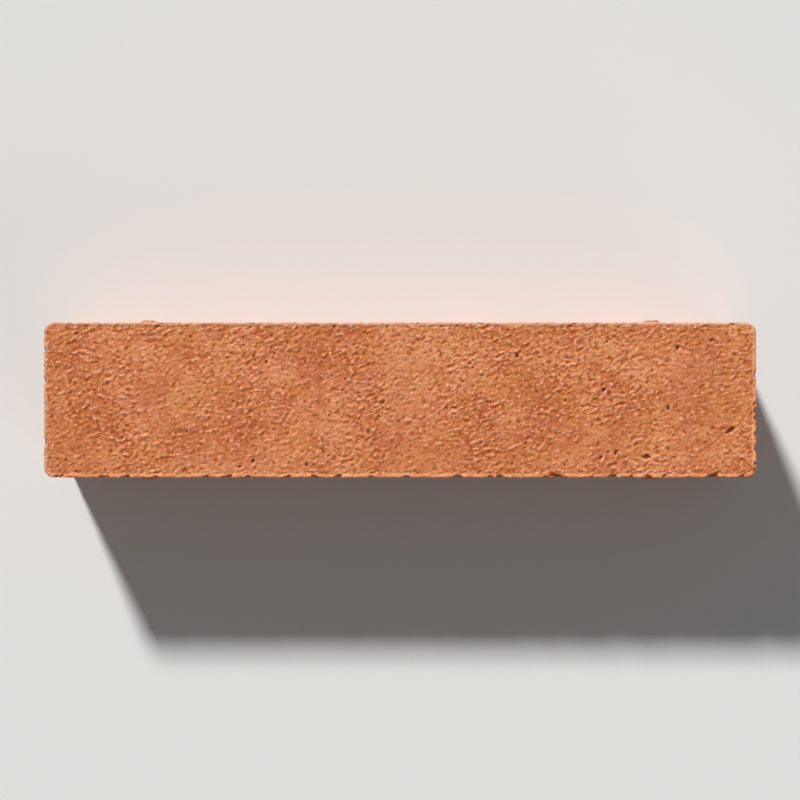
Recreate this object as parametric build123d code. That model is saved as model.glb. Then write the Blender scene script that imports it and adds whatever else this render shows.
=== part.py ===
from build123d import *
import os

# Paving stone: one block of pressed concrete in a long narrow plank format.
# Millimetres. X runs along the stone, Y across it, Z up.
# The origin is the middle of the underside, which lies on the bedding.

# The block, without its spacer ribs
stone_length = 445.0
stone_width = 97.5
stone_height = 80.0
corner_radius = 7.0  # of the four upright corners, seen from above
arris_radius = 1.0  # of the rounded edge all round the wearing face

# The spacer ribs that the mould leaves on all four sides, to hold the joints open.
# End to end two of them meet, and along the rows each meets the next stone's flat side.
rib_reach = 2.5  # out from the side
rib_base_width = 12.0
rib_crest_width = 7.0
rib_crest_radius = 1.0  # rounds the two long edges of the crest
rib_top_gap = 14.0  # from the wearing face down to where the rib begins
rib_slope_height = 7.0  # over which its upper end runs out into the side
rib_end_inset = 62.5  # from the end of a long side to the middle of each rib on it


def block():
    """The plain block, with its upright corners and the soft edge round its face."""
    outline = RectangleRounded(stone_length, stone_width, corner_radius)
    body = extrude(outline, amount=stone_height)
    wearing_face = body.faces().sort_by(Axis.Z)[-1]
    return fillet(wearing_face.edges(), radius=arris_radius)


def rib():
    """One spacer rib, standing on the XZ plane with its crest towards +Y."""
    half_base = rib_base_width / 2
    half_crest = rib_crest_width / 2
    section = Polygon(
        (-half_base, 0),
        (half_base, 0),
        (half_crest, rib_reach),
        (-half_crest, rib_reach),
        align=None,
    )
    crest_corners = section.vertices().group_by(Axis.Y)[-1]
    section = fillet(crest_corners, radius=rib_crest_radius)

    # the upper end slopes from the full reach at the shoulder back into the side
    top = stone_height - rib_top_gap
    shoulder = top - rib_slope_height
    above_slope = Plane.YZ * Polygon(
        (0, top),
        (rib_reach, shoulder),
        (rib_reach, top),
        align=None,
    )
    return extrude(section, amount=top) - extrude(above_slope, amount=half_base, both=True)


def rib_places():
    """Where the ribs stand on the outline: two on each long side, one on each end."""
    half_length = stone_length / 2
    half_width = stone_width / 2
    along = half_length - rib_end_inset
    return [
        Location((along, half_width, 0)),
        Location((-along, half_width, 0)),
        Location((along, -half_width, 0), (0, 0, 180)),
        Location((-along, -half_width, 0), (0, 0, 180)),
        Location((half_length, 0, 0), (0, 0, -90)),
        Location((-half_length, 0, 0), (0, 0, 90)),
    ]


def paving_stone():
    """The whole stone, cast in one piece with its ribs."""
    one_rib = rib()
    stone = block()
    for place in rib_places():
        stone += place * one_rib
    return stone


os.makedirs("parts", exist_ok=True)
stone = paving_stone()
export_step(stone, "parts/paving_stone.step")
litres = stone.volume / 1e6
print("paving stone:", len(stone.solids()), "solid,", round(litres, 4), "litres")
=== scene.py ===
import math
import bpy
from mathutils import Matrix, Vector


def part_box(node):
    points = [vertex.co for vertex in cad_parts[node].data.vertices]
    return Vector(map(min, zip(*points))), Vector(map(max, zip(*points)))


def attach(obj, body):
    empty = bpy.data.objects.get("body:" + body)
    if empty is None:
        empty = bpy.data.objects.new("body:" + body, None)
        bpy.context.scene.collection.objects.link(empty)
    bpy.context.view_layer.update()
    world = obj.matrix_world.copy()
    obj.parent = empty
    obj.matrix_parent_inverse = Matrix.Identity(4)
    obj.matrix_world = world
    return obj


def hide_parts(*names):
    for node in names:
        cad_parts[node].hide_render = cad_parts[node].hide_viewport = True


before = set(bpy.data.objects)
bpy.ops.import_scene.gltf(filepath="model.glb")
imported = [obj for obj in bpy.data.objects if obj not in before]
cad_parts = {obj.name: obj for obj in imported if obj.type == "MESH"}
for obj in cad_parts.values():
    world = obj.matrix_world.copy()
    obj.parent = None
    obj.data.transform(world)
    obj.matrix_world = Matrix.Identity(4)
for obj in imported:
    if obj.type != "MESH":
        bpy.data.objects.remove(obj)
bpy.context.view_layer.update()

mm = 0.001

# The block as it is cast: the same sizes as the CAD node, in metres
stone = {
    "node": "paving_stone",
    "slot": "terracotta_concrete",
    "ribReach": 2.5 * mm,
    "ribBaseHalf": 6.0 * mm,
    "ribCrestHalf": 3.5 * mm,
    "ribTopGap": 14.0 * mm,
    "ribSlope": 7.0 * mm,
    "ribEndInset": 62.5 * mm,
    "cornerRadius": 7.0 * mm,
    "arrisRadius": 1.0 * mm,
    "faceStep": 0.86 * mm,      # mesh spacing on the wearing face
    "wallStep": 2.35 * mm,      # and down the walls
    "rimStep": 0.9 * mm,        # just under the arris
    "rimRows": 4,
    "cornerBands": 8,           # divisions from the core out to the edge of the face
    "arrisRows": 4,
}

boxLow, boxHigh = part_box(stone["node"])
halfLength = boxHigh[0] - stone["ribReach"]
halfWidth = boxHigh[1] - stone["ribReach"]
height = boxHigh[2]
coreX = halfLength - stone["cornerRadius"]
coreY = halfWidth - stone["cornerRadius"]
ribX = halfLength - stone["ribEndInset"]
ribTop = height - stone["ribTopGap"]
ribShoulder = ribTop - stone["ribSlope"]


# The skin: a closed mesh of the block, fine on the face and coarser down the walls

def stations(halfCore, ribPlaces):
    # (place on the core line, reach out of the core from -1 to 1) for each grid line
    bands = stone["cornerBands"]
    marks = [-halfCore, halfCore]
    for place in ribPlaces:
        for half in (stone["ribBaseHalf"], stone["ribCrestHalf"]):
            marks += [place - half, place + half]
    marks.sort()
    lines = [(-halfCore, k / bands - 1) for k in range(bands)]
    for a, b in zip(marks, marks[1:]):
        count = 4 * max(1, round((b - a) / stone["faceStep"] / 4))  # fours, as the walls halve it twice
        lines += [(a + (b - a) * k / count, 0.0) for k in range(count)]
    return lines + [(halfCore, k / bands) for k in range(bands + 1)]


def spot(stationX, stationY, inset, z):
    # the place of a grid crossing: the square corner of the grid is bent into the round one
    armX, armY = stationX[1], stationY[1]
    reach = max(abs(armX), abs(armY))
    if reach == 0:
        return (stationX[0], stationY[0], z)
    length = reach * (stone["cornerRadius"] - inset) / math.hypot(armX, armY)
    return (stationX[0] + armX * length, stationY[0] + armY * length, z)


def ribStand(stationX, stationY, z):
    # how far the wall stands out here, on a spacer rib
    armX, armY = stationX[1], stationY[1]
    if armX and armY:
        return 0.0
    along = stationY[0] if armX else abs(stationX[0]) - ribX
    flank = (stone["ribBaseHalf"] - abs(along)) / (stone["ribBaseHalf"] - stone["ribCrestHalf"])
    runOut = (ribTop - z) / stone["ribSlope"]
    return stone["ribReach"] * max(0.0, min(1.0, flank, runOut))


def edgeWalk(linesX, linesY):
    # the outermost grid crossings, anticlockwise seen from above
    lastX, lastY = linesX[-1], linesY[-1]
    walk = [(x, linesY[0]) for x in linesX[:-1]]
    walk += [(lastX, y) for y in linesY[:-1]]
    walk += [(x, lastY) for x in reversed(linesX[1:])]
    walk += [(linesX[0], y) for y in reversed(linesY[1:])]
    return walk


def buildSkin():
    linesX = stations(coreX, [ribX, -ribX])
    linesY = stations(coreY, [0.0])
    points, faces, corners = [], [], []  # corners: the bake map's place of each face corner
    margin, gap = 3 * mm, 3.4 * mm  # round and between the parts of the bake map
    scale = 1 / (2 * halfLength + 2 * margin)
    deep, wide = height - stone["arrisRadius"], 2 * halfWidth

    def addFace(*pairs):
        faces.append([p for p, _ in pairs])
        corners.extend(uv for _, uv in pairs)

    def flatPlace(p, base):
        x, y, _ = points[p]
        return ((x + halfLength + margin) * scale, (y + halfWidth + base) * scale)

    def cap(xs, ys, inset, z, base, up):
        # one flat side of the block; returns the indices of its edge, as edgeWalk goes
        start = len(points)
        points.extend(spot(x, y, inset, z) for y in ys for x in xs)
        nx, ny = len(xs), len(ys)
        for j in range(ny - 1):
            for i in range(nx - 1):
                a = start + j * nx + i
                quad = [a, a + 1, a + 1 + nx, a + nx]
                if not up:
                    quad.reverse()
                addFace(*[(p, flatPlace(p, base)) for p in quad])
        row = [start + i for i in range(nx - 1)]
        row += [start + nx - 1 + j * nx for j in range(ny - 1)]
        row += [start + (ny - 1) * nx + i for i in range(nx - 1, 0, -1)]
        row += [start + j * nx for j in range(ny - 1, 0, -1)]
        return row

    def ring(walk, inset, z):
        start = len(points)
        for x, y in walk:
            points.append(spot(x, y, inset - ribStand(x, y, z), z))
        return list(range(start, len(points)))

    # the face and the rounded arris
    faceBase = gap
    upper = cap(linesX, linesY, stone["arrisRadius"], height, faceBase, True)
    walk = edgeWalk(linesX, linesY)
    count = len(walk)
    for k in range(1, stone["arrisRows"] + 1):
        turn = math.pi / 2 * k / stone["arrisRows"]
        inset = stone["arrisRadius"] * (1 - math.sin(turn))
        lower = ring(walk, inset, height - stone["arrisRadius"] * (1 - math.cos(turn)))
        for i in range(count):
            n = (i + 1) % count
            quad = (upper[i], lower[i], lower[n], upper[n])
            addFace(*[(p, flatPlace(p, faceBase)) for p in quad])
        upper = lower

    # where each step of the walk lies on its wall's own strip of the bake map
    stepsX, stepsY = len(linesX) - 1, len(linesY) - 1
    sideStarts = [0, stepsX, stepsX + stepsY, 2 * stepsX + stepsY, count]
    run = []
    for s in range(4):
        travel = 0.0
        strip = [0.0]
        for i in range(sideStarts[s], sideStarts[s + 1]):
            a = spot(*walk[i], 0.0, 0.0)
            b = spot(*walk[(i + 1) % count], 0.0, 0.0)
            travel += math.dist(a, b)
            strip.append(travel)
        run.append(strip)
    faceTop = faceBase + wide
    bottomBase = faceTop + gap
    frontBase = bottomBase + wide + gap
    backBase = frontBase + deep + gap
    endBase = backBase + deep + gap
    stripPlace = [
        (margin, frontBase),
        (margin, endBase),
        (margin, backBase),
        (margin + wide + gap, endBase),
    ]

    def wallPlace(i, z, endOfStep):
        side = max(s for s in range(4) if sideStarts[s] <= i)
        x0, y0 = stripPlace[side]
        return ((x0 + run[side][i - sideStarts[side] + endOfStep]) * scale, (y0 + z) * scale)

    def wallRow(upper, lower, step, zUpper, zLower):
        # step is how many steps of the walk a column spans
        columns = len(upper)
        for c in range(columns):
            n = (c + 1) % columns
            i = c * step
            addFace(
                (upper[c], wallPlace(i, zUpper, 0)),
                (lower[c], wallPlace(i, zLower, 0)),
                (lower[n], wallPlace(i, zLower, step)),
                (upper[n], wallPlace(i, zUpper, step)),
            )

    def halvingRow(upper, lower, step, zUpper, zLower):
        # two columns above for each one below
        columns = len(upper)
        for c in range(0, columns, 2):
            i = c * step
            n = (c + 2) % columns
            m = (c // 2 + 1) % len(lower)
            a = (upper[c], wallPlace(i, zUpper, 0))
            b = (upper[c + 1], wallPlace(i, zUpper, step))
            d = (upper[n], wallPlace(i, zUpper, 2 * step))
            p = (lower[c // 2], wallPlace(i, zLower, 0))
            q = (lower[m], wallPlace(i, zLower, 2 * step))
            addFace(a, p, b)
            addFace(b, p, q)
            addFace(b, q, d)

    # the walls, which get coarser on the way down
    z = height - stone["arrisRadius"]
    for _ in range(stone["rimRows"]):
        lower = ring(walk, 0.0, z - stone["rimStep"])
        wallRow(upper, lower, 1, z, z - stone["rimStep"])
        upper, z = lower, z - stone["rimStep"]
    half = walk[::2]
    below = z - 1.5 * stone["rimStep"]
    lower = ring(half, 0.0, below)
    halvingRow(upper, lower, 1, z, below)
    upper, z = lower, below
    for foot in (ribTop, ribShoulder, stone["wallStep"]):
        rows = max(1, round((z - foot) / stone["wallStep"]))
        drop = (z - foot) / rows
        for _ in range(rows):
            lower = ring(half, 0.0, z - drop)
            wallRow(upper, lower, 2, z, z - drop)
            upper, z = lower, z - drop
    quarterX, quarterY = linesX[::4], linesY[::4]
    lower = cap(quarterX, quarterY, 0.0, 0.0, bottomBase, False)
    quarterWalk = edgeWalk(quarterX, quarterY)
    for p, (x, y) in zip(lower, quarterWalk):
        points[p] = spot(x, y, -ribStand(x, y, 0.0), 0.0)
    halvingRow(upper, lower, 2, z, 0.0)

    mesh = bpy.data.meshes.new("stoneSkin")
    mesh.from_pydata(points, [], faces)
    bakeMap = mesh.uv_layers.new(name="OFBake")
    bakeMap.uv.foreach_set("vector", [value for uv in corners for value in uv])
    # the foot of the walls is a sharp edge
    footRing = set(lower)
    sharp = mesh.attributes.new("sharp_edge", "BOOLEAN", "EDGE")
    sharp.data.foreach_set("value", [footRing.issuperset(edge.vertices) for edge in mesh.edges])
    mesh.update()
    skin = bpy.data.objects.new("pavingStone", mesh)
    bpy.context.scene.collection.objects.link(skin)
    triangles = sum(len(f) - 2 for f in faces)
    topUsed = (endBase + deep) * scale
    print("skin built,", len(points), "points,", triangles, "triangles, bake map used to", round(topUsed, 3))
    return skin


# Short ways to lay nodes, used for the relief tree and the material alike

def feed(tree, target, value):
    if isinstance(value, bpy.types.NodeSocket):
        tree.links.new(value, target)
    else:
        target.default_value = value


def calc(tree, operation, *values):
    node = tree.nodes.new("ShaderNodeMath")
    node.operation = operation
    for k, value in enumerate(values):
        feed(tree, node.inputs[k], value)
    return node.outputs[0]


def plus(tree, first, *others):
    for value in others:
        first = calc(tree, "ADD", first, value)
    return first


def times(tree, first, *others):
    for value in others:
        first = calc(tree, "MULTIPLY", first, value)
    return first


def minus(tree, first, second):
    return calc(tree, "SUBTRACT", first, second)


def vectorCalc(tree, operation, *values):
    node = tree.nodes.new("ShaderNodeVectorMath")
    node.operation = operation
    for k, value in enumerate(values):
        feed(tree, node.inputs["Scale" if operation == "SCALE" and k == 1 else k], value)
    return node.outputs["Value" if operation == "LENGTH" else "Vector"]


def vectorOf(tree, x, y, z):
    node = tree.nodes.new("ShaderNodeCombineXYZ")
    for k, value in enumerate((x, y, z)):
        feed(tree, node.inputs[k], value)
    return node.outputs[0]


def partsOf(tree, vector):
    node = tree.nodes.new("ShaderNodeSeparateXYZ")
    feed(tree, node.inputs[0], vector)
    return node.outputs


def rise(tree, value, start, end, low=0.0, high=1.0):
    # a smooth step from low to high while value goes from start to end
    node = tree.nodes.new("ShaderNodeMapRange")
    node.interpolation_type = "SMOOTHSTEP"
    for k, number in enumerate((value, start, end, low, high)):
        feed(tree, node.inputs[k], number)
    return node.outputs[0]


def asShare(tree, value):
    # held between 0 and 1
    return calc(tree, "MINIMUM", calc(tree, "MAXIMUM", value, 0.0), 1.0)


def sides(tree, below):
    # how far a place belongs to the face, and how far to the walls
    return rise(tree, below, 1.6, 0.1), rise(tree, below, 0.6, 2.0)


def noiseNode(tree, place, size, seed, detail, rough, warp):
    node = tree.nodes.new("ShaderNodeTexNoise")
    offset = (31.7 * seed, -17.3 * seed, 11.9 * seed)
    feed(tree, node.inputs["Vector"], vectorCalc(tree, "ADD", place, offset))
    feed(tree, node.inputs["Scale"], calc(tree, "DIVIDE", 1.0, size))
    node.inputs["Detail"].default_value = detail
    node.inputs["Roughness"].default_value = rough
    node.inputs["Distortion"].default_value = warp
    return node


def noise(tree, place, size, seed, detail=2.0, rough=0.5, warp=0.0):
    # place and size in millimetres; 0.5 on average
    return noiseNode(tree, place, size, seed, detail, rough, warp).outputs[0]


def shift(tree, value, amount):
    # a noise value turned into a step up or down
    return times(tree, minus(tree, value, 0.5), amount)


def bend(tree, place, size, amount, seed):
    # the same place, pushed about by up to half the amount, so that outlines turn ragged
    colour = noiseNode(tree, place, size, seed, 1.0, 0.5, 0.0).outputs[1]
    push = vectorCalc(tree, "SUBTRACT", colour, (0.5, 0.5, 0.5))
    return vectorCalc(tree, "ADD", place, vectorCalc(tree, "SCALE", push, amount))


def turnedBack(tree, vector, angle):
    # about the upright, angle in radians
    node = tree.nodes.new("ShaderNodeVectorRotate")
    node.rotation_type = "Z_AXIS"
    node.invert = True
    feed(tree, node.inputs["Vector"], vector)
    feed(tree, node.inputs["Angle"], angle)
    return node.outputs[0]


def cells(tree, place, size, seed):
    # random points, one to a cell: millimetres to the nearest, and a random number of its own
    node = tree.nodes.new("ShaderNodeTexVoronoi")
    offset = (13.1 * seed, 7.7 * seed, -19.3 * seed)
    feed(tree, node.inputs["Vector"], vectorCalc(tree, "ADD", place, offset))
    feed(tree, node.inputs["Scale"], calc(tree, "DIVIDE", 1.0, size))
    return times(tree, node.outputs["Distance"], size), partsOf(tree, node.outputs["Color"])[0]


# The relief of the pressed concrete, in millimetres, all of it cut into the skin
relief = {
    "Face Level": 0.40,        # of the closed surface, below the proudest granules
    "Region Size": 45.0,       # regions and patches that the press left open, and others that it closed
    "Patch Size": 5.0,
    "Hollow Size": 2.1,        # sunken places between the granules
    "Hollow Depth": 0.20,
    "Granule Size": 2.25,      # single granules that stand proud, and gaps where one is missing
    "Granule Depth": 0.24,
    "Draw": 0.8,               # below one, hollows and granules are drawn out
    "Draw Turn": math.radians(20),  # this far round from the length of the stone
    "Pinhole Spacing": 6.5,
    "Pinhole Radius": 1.0,
    "Pinhole Depth": 0.5,
    "Swell Size": 30.0,        # slow unevenness of the face
    "Swell Depth": 0.20,
    "Rim Width": 2.4,          # the smoother band along the arris
    "Groove Depth": 0.34,      # the broken groove inside that band
    "Hole Density": 260.0,     # larger holes, for each square metre
    "Hole Radius": 1.6,
    "Hole Depth": 0.75,
    "Chip Density": 15000.0,   # nibbles out of the arris, for each square metre of it
    "Chip Radius": 1.5,
    "Chip Depth": 1.1,
    "Fray Depth": 0.22,
    "Drag Depth": 0.16,        # upright scores that the mould leaves on the walls
    "Wall Waves": 0.35,
    "Open Size": 16.0,         # parts of the walls that filled badly, and the voids in them
    "Void Size": 5.0,
    "Void Depth": 1.5,
}

# The marks that stand out on this stone, in millimetres and degrees:
# along, across, length, width, turn, depth
faceMarks = [
    (206, -19, 8.8, 3.6, 31, 0.8),
    (154, -35.5, 6.8, 3.4, 4, 0.7),
    (73, 27.5, 4.6, 3.6, 72, 0.65),
    (127, 6, 4.8, 3.1, 58, 0.6),
    (173, 32.5, 4.8, 3.4, 74, 0.7),
    (-91.5, -38, 4.8, 3.0, 61, 0.6),
    (134.5, -33, 5.2, 2.6, 81, 0.6),
    (-10.5, -1.5, 5.4, 2.8, 55, 0.5),
    (125.5, -36, 5.6, 2.6, 48, 0.5),
    (-58, -40.5, 3.8, 3.2, 70, 0.6),
    (194.5, 37, 5.0, 2.6, 24, 0.6),
    (50.5, -26.5, 4.6, 2.6, 139, 0.5),
    (-93, 45.5, 9.0, 2.4, 42, 0.34),
    (-11, 45, 4.0, 3.2, 80, 0.32),
]
# and the deeper chips in the arris: place, length, width
nearChips = [
    (-214, 5, 4), (-186, 4, 4), (-171, 6, 4), (-152, 3, 3), (-121, 5, 4), (-107.5, 7, 4), (-95, 4, 4),
    (-70, 5, 4), (-53, 5, 3.5), (-38.5, 6, 4.5), (-18, 3, 3), (4, 4, 4), (36, 6, 5), (62, 5, 4.5),
    (98, 11, 6), (119.5, 3, 3), (132.5, 6, 5), (144, 4, 3.5), (155, 5, 4), (194.5, 11, 6), (213, 4, 4),
]
rightChips = [(16, 3.5, 4), (9, 3, 2.5), (-6.5, 5, 4.5), (-21, 3, 3), (-30, 4, 3.5)]
leftChips = [(31, 4, 4), (12, 5, 4), (-3, 3, 3), (-26, 6, 5)]
chipShape = {
    "inwards": 0.5 * mm,   # from the outline, and down from the face, to the middle of a chip
    "wobble": 20.0,        # degrees that the near ones turn, at most
    "narrow": 0.72,        # times the width that is listed
    "depth": 0.65,         # in millimetres, and more for each millimetre of width
    "deepen": 0.2,
}


def randomValue(tree, low, high, seed):
    node = tree.nodes.new("FunctionNodeRandomValue")
    node.data_type = "FLOAT"
    feed(tree, node.inputs[2], low)
    feed(tree, node.inputs[3], high)
    feed(tree, node.inputs["Seed"], seed)
    return node.outputs[1]


def store(tree, geometry, name, value, kind="FLOAT"):
    node = tree.nodes.new("GeometryNodeStoreNamedAttribute")
    node.data_type = kind
    node.inputs["Name"].default_value = name
    feed(tree, node.inputs["Geometry"], geometry)
    feed(tree, node.inputs["Value"], value)
    return node.outputs[0]


def named(tree, name):
    node = tree.nodes.new("GeometryNodeInputNamedAttribute")
    node.data_type = "FLOAT"
    node.inputs["Name"].default_value = name
    return node.outputs[0]


def sampled(tree, points, field, index, kind="FLOAT"):
    node = tree.nodes.new("GeometryNodeSampleIndex")
    node.data_type = kind
    feed(tree, node.inputs["Geometry"], points)
    feed(tree, node.inputs["Value"], field)
    feed(tree, node.inputs["Index"], index)
    return node.outputs["Value"]


def scatter(tree, skinIn, chosen, density, radius, depth, turn, longest, seed):
    # points for dents over the chosen faces, each with a size, a turn and a depth of its own
    spread = tree.nodes.new("GeometryNodeDistributePointsOnFaces")
    feed(tree, spread.inputs["Mesh"], skinIn)
    feed(tree, spread.inputs["Selection"], chosen)
    feed(tree, spread.inputs["Density"], density)
    spread.inputs["Seed"].default_value = seed
    points = store(tree, spread.outputs["Points"], "dentSize", randomValue(tree, 0.35, 1.0, seed + 1))
    size = named(tree, "dentSize")
    wide = times(tree, size, radius)
    points = store(tree, points, "dentWidth", wide)
    stretch = randomValue(tree, 1.0, longest, seed + 2)
    points = store(tree, points, "dentLength", times(tree, wide, stretch))
    points = store(tree, points, "dentTurn", turn)
    return store(tree, points, "dentDepth", times(tree, size, depth))


def dents(tree, points, place, seed):
    # how deep the skin is cut here by the dent at the nearest of the points
    here = tree.nodes.new("GeometryNodeInputPosition").outputs[0]
    nearest = tree.nodes.new("GeometryNodeSampleNearest")
    nearest.domain = "POINT"
    feed(tree, nearest.inputs["Geometry"], points)
    feed(tree, nearest.inputs["Sample Position"], here)
    index = nearest.outputs["Index"]
    centre = sampled(tree, points, here, index, "FLOAT_VECTOR")
    long, wide, turn, deep = [
        sampled(tree, points, named(tree, name), index)
        for name in ("dentLength", "dentWidth", "dentTurn", "dentDepth")
    ]
    away = minusPlace(tree, bend(tree, place, 1.4, 1.3, seed), centre)
    local = vectorCalc(tree, "DIVIDE", turnedBack(tree, away, turn), vectorOf(tree, long, wide, wide))
    ragged = times(tree, minus(tree, noise(tree, place, 1.3, seed + 1), 0.5), 0.8)
    return times(tree, rise(tree, plus(tree, vectorCalc(tree, "LENGTH", local), ragged), 1.15, 0.3), deep)


def minusPlace(tree, place, centre):
    # place is in millimetres, centre in metres
    return vectorCalc(tree, "SUBTRACT", place, vectorCalc(tree, "SCALE", centre, 1000.0))


def granules(tree, place, sizes):
    # three shares between 0 and about 1.6: sunken places, granules that stand proud, and gaps
    patch = rise(tree, noise(tree, place, sizes["Patch Size"], 1), 0.36, 0.60, 0.6, 1.25)
    region = rise(tree, noise(tree, place, sizes["Region Size"], 6, 1.0), 0.35, 0.65, 0.72, 1.25)
    patch = times(tree, patch, region)
    drawn = turnedBack(tree, place, sizes["Draw Turn"])
    drawn = vectorCalc(tree, "MULTIPLY", drawn, vectorOf(tree, sizes["Draw"], 1.0, 1.0))
    hollow = noise(tree, bend(tree, drawn, 2.0, 1.4, 2), sizes["Hollow Size"], 3, 2.0, 0.55)
    sunken = rise(tree, hollow, 0.52, 0.43)
    single = noise(tree, bend(tree, drawn, 2.2, 1.4, 4), sizes["Granule Size"], 5, 1.0)
    proud = rise(tree, single, 0.57, 0.67)
    gap = rise(tree, single, 0.42, 0.32)
    return [times(tree, share, patch) for share in (sunken, proud, gap)]


def crust(tree, place, sizes):
    # depth below the closed surface, less than nothing on a granule
    sunken, proud, gap = granules(tree, place, sizes)
    single = minus(tree, times(tree, gap, 0.8), times(tree, proud, 1.1))
    return plus(tree, times(tree, sunken, sizes["Hollow Depth"]), times(tree, single, sizes["Granule Depth"]))


def pinholes(tree, place, sizes):
    flat = vectorCalc(tree, "MULTIPLY", bend(tree, place, 1.2, 0.9, 7), (1.0, 1.0, 0.0))
    distance, lot = cells(tree, flat, sizes["Pinhole Spacing"], 1)
    radius = rise(tree, lot, 0.6, 1.0, -0.2, sizes["Pinhole Radius"])
    return times(tree, rise(tree, minus(tree, radius, distance), -0.15, 0.45), sizes["Pinhole Depth"])


def voids(tree, place, sizes):
    # how open the wall is here, and the depth of its voids
    openness = rise(tree, noise(tree, place, sizes["Open Size"], 18), 0.38, 0.60)
    ragged = noise(tree, bend(tree, place, 3.0, 3.0, 8), sizes["Void Size"], 19, 2.0, 0.6)
    hole = rise(tree, ragged, rise(tree, openness, 0.0, 1.0, 0.34, 0.44), 0.27)
    return openness, times(tree, hole, sizes["Void Depth"])


def scores(tree, place, size, seed):
    # upright drag lines, between 0 and 1
    return noise(tree, vectorCalc(tree, "MULTIPLY", place, (1.0, 1.0, 0.06)), size, seed, 2.0, 0.6)


def edgeDistances(tree, where, given):
    # millimetres in from the outline of the block, and down from the face
    x, y, z = partsOf(tree, where)
    radius = given["Corner Radius"]
    outX = minus(tree, calc(tree, "ABSOLUTE", x), minus(tree, given["Half Length"], radius))
    outY = minus(tree, calc(tree, "ABSOLUTE", y), minus(tree, given["Half Width"], radius))
    arm = vectorOf(tree, calc(tree, "MAXIMUM", outX, 0.0), calc(tree, "MAXIMUM", outY, 0.0), 0.0)
    within = calc(tree, "MINIMUM", calc(tree, "MAXIMUM", outX, outY), 0.0)
    outside = minus(tree, plus(tree, vectorCalc(tree, "LENGTH", arm), within), radius)
    onEnd = calc(tree, "GREATER_THAN", outX, outY)
    return times(tree, outside, -1000.0), times(tree, minus(tree, given["Height"], z), 1000.0), onEnd


def dentSizes(given, kind):
    return [given[kind + " " + word] for word in ("Density", "Radius", "Depth")]


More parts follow.
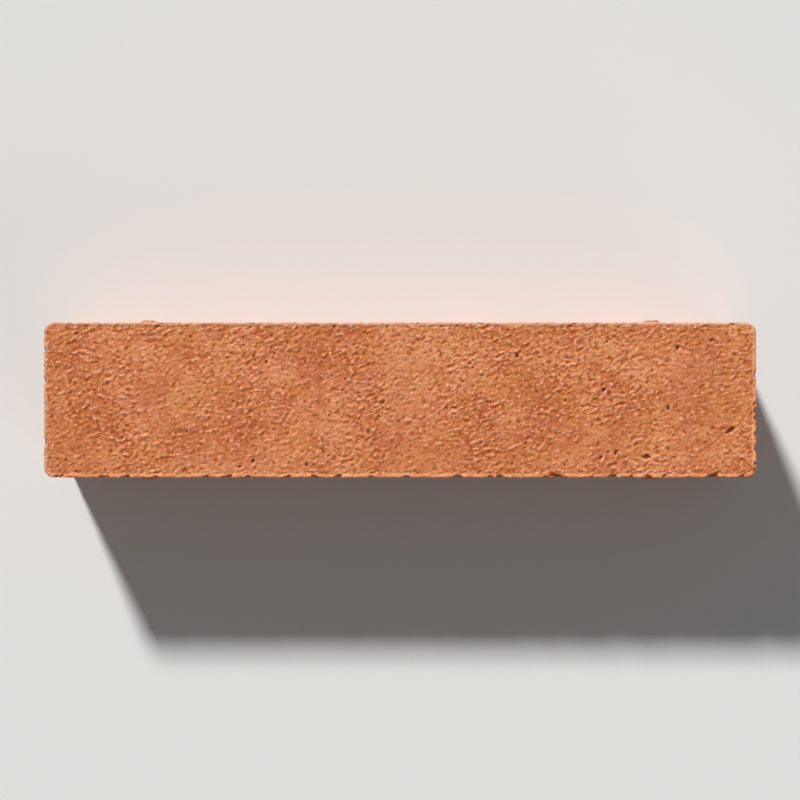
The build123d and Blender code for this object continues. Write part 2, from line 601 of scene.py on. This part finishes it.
def buildReliefTree():
    tree = bpy.data.node_groups.new("pressedConcreteRelief", "GeometryNodeTree")
    panel = tree.interface
    panel.new_socket("Geometry", in_out="INPUT", socket_type="NodeSocketGeometry")
    for name in ("Half Length", "Half Width", "Height", "Corner Radius", *relief):
        panel.new_socket(name, in_out="INPUT", socket_type="NodeSocketFloat")
    panel.new_socket("Marks", in_out="INPUT", socket_type="NodeSocketObject")
    panel.new_socket("Material", in_out="INPUT", socket_type="NodeSocketMaterial")
    panel.new_socket("Geometry", in_out="OUTPUT", socket_type="NodeSocketGeometry")
    given = tree.nodes.new("NodeGroupInput").outputs
    skinIn = given["Geometry"]
    where = tree.nodes.new("GeometryNodeInputPosition").outputs[0]
    place = vectorCalc(tree, "SCALE", where, 1000.0)
    inset, below, onEnd = edgeDistances(tree, where, given)
    onFace, onWall = sides(tree, below)

    # the face, with its calmer rim and the broken groove inside it
    quickWander = shift(tree, noise(tree, place, 2.4, 11), 2.6)
    slowWander = shift(tree, noise(tree, place, 9.0, 10), 2.4)
    edgeWay = plus(tree, inset, quickWander, slowWander)
    rim = given["Rim Width"]
    inner = rise(tree, edgeWay, minus(tree, rim, 0.5), plus(tree, rim, 0.6), 0.2, 1.0)
    offGroove = calc(tree, "ABSOLUTE", minus(tree, minus(tree, edgeWay, rim), 0.35))
    brokenGroove = rise(tree, noise(tree, place, 4.0, 12), 0.40, 0.54)
    groove = times(tree, rise(tree, offGroove, 0.75, 0.1), brokenGroove, given["Groove Depth"])
    swell = times(tree, noise(tree, place, given["Swell Size"], 13, 1.0), given["Swell Depth"])
    bead = rise(tree, noise(tree, place, 7.0, 17), 0.36, 0.58, 0.9, 0.35)
    level = rise(tree, edgeWay, minus(tree, rim, 0.6), plus(tree, rim, 0.8), bead, 1.0)
    level = times(tree, level, given["Face Level"])
    pressed = crust(tree, place, given)
    surface = plus(tree, times(tree, pressed, inner), level, swell, groove)
    faceCut = times(tree, plus(tree, surface, pinholes(tree, place, given)), onFace)

    # the walls, which have the same crust, with voids where the mould filled badly
    waves = times(tree, noise(tree, place, 9.0, 14, 2.0), given["Wall Waves"])
    drag = times(tree, scores(tree, place, 4.2, 15), given["Drag Depth"])
    _, void = voids(tree, place, given)
    wallCut = plus(tree, times(tree, pressed, 0.85), given["Face Level"], waves, drag, void)
    wallCut = times(tree, wallCut, onWall)

    # wounds: scattered holes, the marks of this stone, and nibbles all along the arris
    isFace = times(tree, calc(tree, "LESS_THAN", below, 0.05), calc(tree, "GREATER_THAN", inset, 3.5))
    isArris = times(tree, calc(tree, "LESS_THAN", below, 1.4), calc(tree, "LESS_THAN", inset, 1.4))
    anyTurn = randomValue(tree, 0.0, math.pi, 24)
    alongEdge = plus(tree, times(tree, onEnd, math.pi / 2), randomValue(tree, -0.3, 0.3, 34))
    holePoints = scatter(tree, skinIn, isFace, *dentSizes(given, "Hole"), anyTurn, 1.9, 21)
    chipPoints = scatter(tree, skinIn, isArris, *dentSizes(given, "Chip"), alongEdge, 2.2, 31)
    marks = tree.nodes.new("GeometryNodeObjectInfo")
    feed(tree, marks.inputs["Object"], given["Marks"])
    holes = dents(tree, holePoints, place, 22)
    near = rise(tree, partsOf(tree, where)[1], 0.01, -0.01, 0.45, 1.0)  # the far edge is nibbled less
    chips = times(tree, dents(tree, chipPoints, place, 32), near)
    chosen = dents(tree, marks.outputs["Geometry"], place, 42)
    arrisBand = times(tree, rise(tree, inset, 2.0, 0.8), rise(tree, below, 4.0, 1.0))
    fray = times(tree, rise(tree, noise(tree, place, 1.8, 16), 0.60, 0.38), arrisBand, given["Fray Depth"])
    wounds = plus(tree, holes, chips, chosen, fray)

    # the material reads the uncut place, and how near the edge and how deep in a wound it is
    kept = store(tree, skinIn, "castPlace", place, "FLOAT_VECTOR")
    kept = store(tree, kept, "castEdge", vectorOf(tree, inset, below, wounds), "FLOAT_VECTOR")
    normal = tree.nodes.new("GeometryNodeInputNormal").outputs[0]
    depth = plus(tree, faceCut, wallCut, wounds)
    cut = tree.nodes.new("GeometryNodeSetPosition")
    feed(tree, cut.inputs["Geometry"], kept)
    feed(tree, cut.inputs["Offset"], vectorCalc(tree, "SCALE", normal, times(tree, depth, -0.001)))
    smooth = tree.nodes.new("GeometryNodeSetShadeSmooth")
    feed(tree, smooth.inputs["Geometry"], cut.outputs[0])
    real = tree.nodes.new("GeometryNodeRealizeInstances")
    feed(tree, real.inputs["Geometry"], smooth.outputs[0])
    paint = tree.nodes.new("GeometryNodeSetMaterial")
    feed(tree, paint.inputs["Geometry"], real.outputs[0])
    feed(tree, paint.inputs["Material"], given["Material"])
    out = tree.nodes.new("NodeGroupOutput")
    feed(tree, out.inputs["Geometry"], paint.outputs[0])
    return tree


def buildMarks():
    # the chosen marks as points with the attributes that the dents read
    rows = [(x * mm, y * mm, height, long, wide, turn, deep) for x, y, long, wide, turn, deep in faceMarks]
    edgeX, edgeY, edgeZ = [side - chipShape["inwards"] for side in (halfLength, halfWidth, height)]
    chips = [(x * mm, -edgeY, long, wide, chipShape["wobble"] * math.cos(x)) for x, long, wide in nearChips]
    chips += [(edgeX, y * mm, long, wide, 90) for y, long, wide in rightChips]
    chips += [(-edgeX, y * mm, long, wide, 90) for y, long, wide in leftChips]
    for x, y, long, wide, turn in chips:
        deep = chipShape["depth"] + chipShape["deepen"] * wide
        rows.append((x, y, edgeZ, long, chipShape["narrow"] * wide, turn, deep))
    mesh = bpy.data.meshes.new("marks")
    mesh.from_pydata([row[:3] for row in rows], [], [])
    columns = {
        "dentLength": [row[3] / 2 for row in rows],
        "dentWidth": [row[4] / 2 for row in rows],
        "dentTurn": [math.radians(row[5]) for row in rows],
        "dentDepth": [row[6] for row in rows],
    }
    for name, values in columns.items():
        mesh.attributes.new(name, "FLOAT", "POINT").data.foreach_set("value", values)
    marks = bpy.data.objects.new("marks", mesh)
    bpy.context.scene.collection.objects.link(marks)
    return marks


# The colour and the finest relief
finish = {
    # sRGB, dark to pale
    "tones": [(155, 66, 32), (179, 95, 56), (202, 124, 80), (225, 153, 107), (243, 175, 130)],
    "toneRange": 120.0,            # steps from the darkest to the palest
    "cloudTone": 62.0,             # how far the clouds, patches and spots move it, in the same steps
    "patchTone": 86.0,
    "spotTone": 60.0,
    "pale": (231, 159, 123),       # sandy grains, also painted highlight on the proud granules; and the richer paste, also painted shade in the hollows and gaps
    "deep": (172, 85, 34),
    "grainTone": 1.1,              # how far the grain, and the granules with their painted highlight and shade, go towards them
    "granuleHighlightShadeTone": 1.22,
    "wallGranuleHighlightShadeTone": 0.5,
    # painted shade: the sunken hollows go towards the deep colour
    "hollowShadeTone": 0.32,
    "wallTone": -26.0,
    # painted shade: the voids in the walls are coloured darker
    "voidShadeTone": 34.0,
    "golden": (207, 132, 66),
    "rosy": (206, 117, 87),
    "sand": (232, 172, 132),       # the worn rim, and shallow bruises
    "sandTone": 1.0,               # of single pale grains
    # painted shade inside the pits and holes
    "pitShade": (136, 50, 10),
    "chip": (172, 84, 42),
    "dust": (206, 160, 132),       # on the walls, in streaks
    "dull": (158, 120, 98),        # and all over them, where the mould rubs
    "dullShare": 0.32,
    "bumpShare": 0.62,             # of the crust, redrawn sharper than the mesh can hold it
    "roughness": 0.85,
    "specular": 0.12,
}


def linear(colour):
    def one(value):
        value /= 255
        return value / 12.92 if value <= 0.04045 else ((value + 0.055) / 1.055) ** 2.4
    return tuple(one(v) for v in colour) + (1.0,)


def mixColour(tree, factor, first, second):
    node = tree.nodes.new("ShaderNodeMix")
    node.data_type = "RGBA"
    feed(tree, node.inputs[0], factor)
    feed(tree, node.inputs[6], first)
    feed(tree, node.inputs[7], second)
    return node.outputs[2]


def readAttribute(tree, name):
    node = tree.nodes.new("ShaderNodeAttribute")
    node.attribute_name = name
    return node.outputs["Vector"]


def toneRamp(tree, value):
    # from the darkest tone at 0 to the palest at 1
    node = tree.nodes.new("ShaderNodeValToRGB")
    stops = node.color_ramp.elements
    last = len(finish["tones"]) - 1
    for k, tone in enumerate(finish["tones"]):
        stop = stops[0] if k == 0 else stops[-1] if k == last else stops.new(k / last)
        stop.color = linear(tone)
    feed(tree, node.inputs[0], value)
    return node.outputs[0]


def buildConcrete():
    material = bpy.data.materials.new("terracottaConcrete")
    material.use_nodes = True
    tree = material.node_tree
    shader = tree.nodes["Principled BSDF"]
    tone = {name: linear(value) for name, value in finish.items() if isinstance(value, tuple)}
    place = readAttribute(tree, "castPlace")
    inset, below, wound = partsOf(tree, readAttribute(tree, "castEdge"))
    onFace, onWall = sides(tree, below)
    inner = calc(tree, "MAXIMUM", rise(tree, inset, 1.6, 3.0, 0.25, 1.0), times(tree, onWall, 0.8))
    openness, void = voids(tree, place, relief)
    void = times(tree, void, onWall)
    crustCut = times(tree, crust(tree, place, relief), inner)
    sunken, proud, gap = granules(tree, place, relief)
    holesCut = times(tree, pinholes(tree, place, relief), onFace)

    distance, lot = cells(tree, bend(tree, place, 1.0, 0.6, 54), 3.0, 55)
    faceShare = rise(tree, below, 0.6, 2.0, 1.0, 0.35)  # the walls show less grain
    grain = times(tree, rise(tree, distance, 0.85, 0.4), rise(tree, lot, 0.70, 0.92), faceShare)

    # slow patches, then grain, with painted highlight on the proud granules and painted shade in the gaps and
    # hollows of the crust
    slow = plus(
        tree,
        shift(tree, noise(tree, place, 75.0, 50, 1.0), finish["cloudTone"]),
        shift(tree, noise(tree, place, 26.0, 51, 2.0, 0.55), finish["patchTone"]),
        shift(tree, noise(tree, place, 7.0, 52), finish["spotTone"]),
        times(tree, onWall, finish["wallTone"]),
        # painted shade in the voids
        times(tree, void, -finish["voidShadeTone"]),
    )
    colour = toneRamp(tree, plus(tree, times(tree, slow, 1 / finish["toneRange"]), 0.5))
    granuleHighlightShadeTone = rise(tree, below, 0.6, 2.0, finish["granuleHighlightShadeTone"], finish["wallGranuleHighlightShadeTone"])
    toneHighlightAndShade = plus(
        tree,
        shift(tree, noise(tree, place, 2.2, 57, 2.0, 0.6), finish["grainTone"]),
        # painted highlight on the proud granules, painted shade in the gaps
        times(tree, minus(tree, proud, gap), granuleHighlightShadeTone),
        # painted shade in the sunken hollows
        times(tree, sunken, -finish["hollowShadeTone"]),
        times(tree, grain, finish["sandTone"]),
    )
    colour = mixColour(tree, asShare(tree, toneHighlightAndShade), colour, tone["pale"])
    colour = mixColour(tree, asShare(tree, times(tree, toneHighlightAndShade, -1.0)), colour, tone["deep"])
    hue = noise(tree, place, 22.0, 53, 2.0, 0.5)
    colour = mixColour(tree, rise(tree, hue, 0.47, 0.66, 0.0, 0.2), colour, tone["golden"])
    colour = mixColour(tree, rise(tree, hue, 0.47, 0.32, 0.0, 0.24), colour, tone["rosy"])
    quickWander = shift(tree, noise(tree, place, 2.4, 11), 2.0)
    wander = plus(tree, quickWander, shift(tree, noise(tree, place, 9.0, 10), 2.0))
    worn = rise(tree, plus(tree, inset, wander), 3.0, 2.0)
    worn = times(tree, worn, rise(tree, plus(tree, below, wander), 1.8, 0.5))
    worn = times(tree, worn, rise(tree, noise(tree, place, 4.5, 58), 0.36, 0.56, 0.25, 0.65))
    bruise = times(tree, rise(tree, wound, 0.05, 0.18), rise(tree, wound, 0.6, 0.35, 0.0, 0.6))
    colour = mixColour(tree, calc(tree, "MAXIMUM", worn, bruise), colour, tone["sand"])
    colour = mixColour(tree, times(tree, onWall, finish["dullShare"]), colour, tone["dull"])
    smeared = times(tree, onWall, rise(tree, scores(tree, place, 4.0, 57), 0.46, 0.70, 0.0, 0.35))
    smeared = times(tree, smeared, minus(tree, 1.0, openness))
    colour = mixColour(tree, smeared, colour, tone["dust"])
    # painted shade: pits, holes, nibbles and fine specks are coloured dark brown inside, with a milder brown
    # in the chips near the edge
    speck = noise(tree, place, 0.8, 56, 2.0, 0.6)
    pitShadeMask = plus(tree, wound, holesCut, shift(tree, speck, 0.8))
    inside = mixColour(tree, rise(tree, inset, 4.0, 2.8), tone["pitShade"], tone["chip"])
    colour = mixColour(tree, rise(tree, pitShadeMask, 0.18, 0.5, 0.0, 0.92), colour, inside)
    feed(tree, shader.inputs["Base Color"], colour)
    shader.inputs["Roughness"].default_value = finish["roughness"]
    shader.inputs["Specular IOR Level"].default_value = finish["specular"]

    # the same crust once more as bump, in millimetres, with the grain that no mesh would hold
    fine = minus(tree, 1.0, noise(tree, place, 0.45, 58, 1.0))
    broken = times(tree, minus(tree, 1.0, noise(tree, place, 1.1, 59)), rise(tree, wound, 0.1, 0.6, 0.0, 0.8))
    drag = times(tree, scores(tree, place, 1.3, 60), onWall, 0.12)
    shared = times(tree, plus(tree, crustCut, void), finish["bumpShare"])
    cut = plus(tree, shared, holesCut, times(tree, fine, 0.05), broken, drag)
    bump = tree.nodes.new("ShaderNodeBump")
    bump.invert = True
    bump.inputs["Strength"].default_value = 1.0
    bump.inputs["Distance"].default_value = mm
    feed(tree, bump.inputs["Height"], cut)
    feed(tree, shader.inputs["Normal"], bump.outputs[0])
    return material


def cutRelief(skin, marks):
    tree = buildReliefTree()
    modifier = skin.modifiers.new("relief", "NODES")
    modifier.node_group = tree
    sockets = {item.name: item.identifier for item in tree.interface.items_tree if item.in_out == "INPUT"}
    settings = {
        "Half Length": halfLength,
        "Half Width": halfWidth,
        "Height": height,
        "Corner Radius": stone["cornerRadius"],
        "Marks": marks,
        "Material": buildConcrete(),
        **relief,
    }
    for name, value in settings.items():
        modifier[sockets[name]] = value
    bpy.context.view_layer.update()
    finished = bpy.data.meshes.new_from_object(skin.evaluated_get(bpy.context.evaluated_depsgraph_get()))
    skin.modifiers.clear()
    skin.data = finished
    bpy.data.objects.remove(marks)
    print("relief cut,", len(finished.vertices), "points")


skin = buildSkin()
cutRelief(skin, buildMarks())
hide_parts(stone["node"])
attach(skin, "root")


# The floor, the light and the camera
studio = {
    "floorSize": 6.0,
    "floorDrop": 0.1 * mm,  # below the stone's underside
    "floorColour": (0.72, 0.71, 0.69, 1.0),
    "floorRoughness": 0.9,
    "keyStrength": 5.02,
    "keyRise": 31.0,       # degrees above the floor
    "keyFrom": 114.0,      # degrees round from +X, seen from above
    "keySoftness": 6.0,
    "fillStrength": 0.5,
    "fillRise": 20.0,
    "fillFrom": -50.0,
    "fillSoftness": 40.0,
    "roomStrength": 0.14,
    "lens": 80.0,
    "millimetresPerPixel": 0.6234,
    "pixels": 800,
}


def sun(name, strength, up, around, softness):
    light = bpy.data.lights.new(name, "SUN")
    light.energy = strength
    light.angle = math.radians(softness)
    lamp = bpy.data.objects.new(name, light)
    lamp.rotation_euler = (0, math.radians(90 - up), math.radians(around))
    bpy.context.scene.collection.objects.link(lamp)


def buildStudio():
    bpy.ops.mesh.primitive_plane_add(size=studio["floorSize"], location=(0, 0, -studio["floorDrop"]))
    floor = bpy.context.object
    floor.name = "floor"
    paint = bpy.data.materials.new("paleFloor")
    paint.use_nodes = True
    shader = paint.node_tree.nodes["Principled BSDF"]
    shader.inputs["Base Color"].default_value = studio["floorColour"]
    shader.inputs["Roughness"].default_value = studio["floorRoughness"]
    floor.data.materials.append(paint)
    sun("key", studio["keyStrength"], studio["keyRise"], studio["keyFrom"], studio["keySoftness"])
    sun("fill", studio["fillStrength"], studio["fillRise"], studio["fillFrom"], studio["fillSoftness"])
    world = bpy.data.worlds.new("softRoom")
    world.use_nodes = True
    background = world.node_tree.nodes["Background"]
    background.inputs["Color"].default_value = (1.0, 1.0, 1.0, 1.0)
    background.inputs["Strength"].default_value = studio["roomStrength"]
    scene = bpy.context.scene
    scene.world = world
    scene.view_settings.view_transform = "Standard"
    camera = bpy.data.objects.new("camera", bpy.data.cameras.new("camera"))
    camera.data.lens = studio["lens"]
    across = studio["pixels"] * studio["millimetresPerPixel"] * mm
    camera.location = (0, 0, height + across * studio["lens"] / camera.data.sensor_width)
    scene.collection.objects.link(camera)
    scene.camera = camera
    print("studio set, camera at", round(camera.location.z, 3))


buildStudio()
